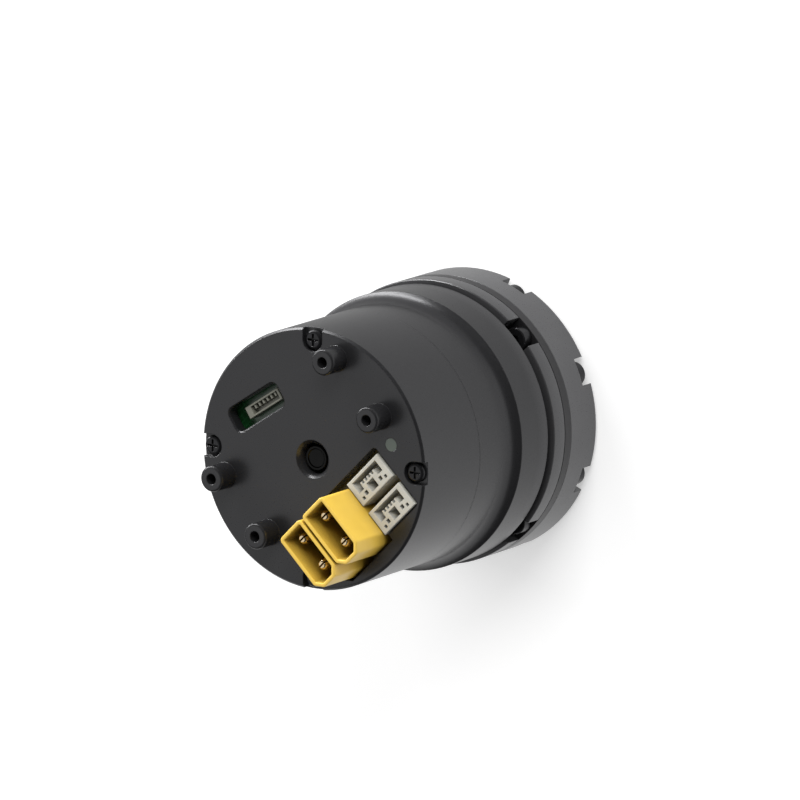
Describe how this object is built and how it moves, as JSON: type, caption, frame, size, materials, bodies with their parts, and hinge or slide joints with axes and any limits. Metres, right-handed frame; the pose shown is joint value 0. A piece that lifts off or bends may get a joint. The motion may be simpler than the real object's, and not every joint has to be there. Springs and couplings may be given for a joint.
{
  "type": "robot joint actuator",
  "caption": "Round robot joint actuator: motor, strain wave gear and crossed-roller bearing in one stepped housing, with a threaded output flange and rear power and signal sockets.",
  "frame": {"origin": "centre of the output flange's front face, which the part stands on", "axes": "+Z along the turning axis, from the output flange to the rear cover; the power connectors' pins are in rows along Y, at -Y, and the slot is at +Y"},
  "size_m": [0.044, 0.044, 0.0527],
  "materials": {
    "black_anodised": "satin black anodised",
    "black_steel": "black oxide",
    "black_screw": "black oxide",
    "output_steel": "fine turned steel",
    "bearing_steel": "ground steel",
    "spring_steel": "ground steel",
    "bare_aluminium": "machined",
    "yellow_plastic": "moulded nylon",
    "gold_pin": "gold plated",
    "grey_plastic": "moulded",
    "tin_contact": "tin plated",
    "board_green": "solder mask over glass laminate",
    "chip_black": "moulded epoxy",
    "capacitor_can": "can",
    "light_pipe": "translucent moulded",
    "light_chip": "clear lens",
    "lamination": "stacked electrical steel",
    "copper": "enamelled copper wire",
    "magnet": "nickel plated",
    "seal_rubber": "nitrile"
  },
  "bodies": {
    "housing": {"board_link": "chip_black", "board_screws": "black_screw", "board_spacers": "bare_aluminium", "capacitors": "capacitor_can", "circular_spline": "black_steel", "controller_chip": "chip_black", "cover_screws": "black_screw", "driver_board": "board_green", "encoder_sensor": "chip_black", "front_bearing_outer_ring": "bearing_steel", "front_ring": "black_anodised", "gear_housing": "black_anodised", "gear_housing_screws": "black_screw", "interface_board": "board_green", "motor_end_bell": "bare_aluminium", "motor_housing": "black_anodised", "motor_seal": "seal_rubber", "output_bearing_front_ring": "bearing_steel", "output_bearing_rear_ring": "bearing_steel", "output_seal": "seal_rubber", "phase_terminals": "tin_contact", "power_connector_a": "yellow_plastic", "power_connector_b": "yellow_plastic", "power_pins": "gold_pin", "power_transistors": "chip_black", "rear_bearing_outer_ring": "bearing_steel", "rear_cover": "black_anodised", "rim_screws": "black_screw", "service_connector": "grey_plastic", "service_contacts": "tin_contact", "signal_connector_a": "grey_plastic", "signal_connector_b": "grey_plastic", "signal_contacts": "tin_contact", "stator_core": "lamination", "stator_windings": "copper", "status_light": "light_chip", "status_light_pipe": "light_pipe", "window_screws": "black_screw"},
    "rotor": {"rotor_shaft": "output_steel", "rotor_hub": "output_steel", "rotor_magnets": "magnet", "encoder_magnet": "magnet", "front_bearing_inner_ring": "bearing_steel", "rear_bearing_inner_ring": "bearing_steel", "cam_spacer": "output_steel", "cam_washer": "output_steel", "cam_screw": "black_screw", "wave_generator_cam": "output_steel", "wave_bearing_inner_ring": "bearing_steel", "wave_bearing_balls": "bearing_steel"},
    "output": {"output_flange": "output_steel", "flexspline": "spring_steel", "flexspline_clamp_ring": "output_steel", "flexspline_screws": "black_screw", "wave_bearing_outer_ring": "bearing_steel"},
    "roller_set": {"output_bearing_rollers": "bearing_steel"},
    "ball_sets": {"front_bearing_balls": "bearing_steel", "rear_bearing_balls": "bearing_steel"}
  },
  "joints": [
    {"name": "rotor_spin", "type": "hinge", "parent": "housing", "child": "rotor", "pos_m": [0, 0, 0.023], "axis": [0, 0, 1], "continuous": true, "deforming": ["flexspline", "wave_bearing_outer_ring"]},
    {"name": "output_spin", "type": "hinge", "parent": "housing", "child": "output", "pos_m": [0, 0, 0.005], "axis": [0, 0, 1], "continuous": true},
    {"name": "rollers_orbit", "type": "hinge", "parent": "housing", "child": "roller_set", "pos_m": [0, 0, 0.00537], "axis": [0, 0, 1], "continuous": true},
    {"name": "balls_orbit", "type": "hinge", "parent": "housing", "child": "ball_sets", "pos_m": [0, 0, 0.024], "axis": [0, 0, 1], "continuous": true}
  ],
  "couplings": [
    {"joint": "rotor_spin", "follows": "output_spin", "ratio": -50},
    {"joint": "rollers_orbit", "follows": "output_spin", "ratio": 0.477},
    {"joint": "balls_orbit", "follows": "output_spin", "ratio": -19.2}
  ]
}
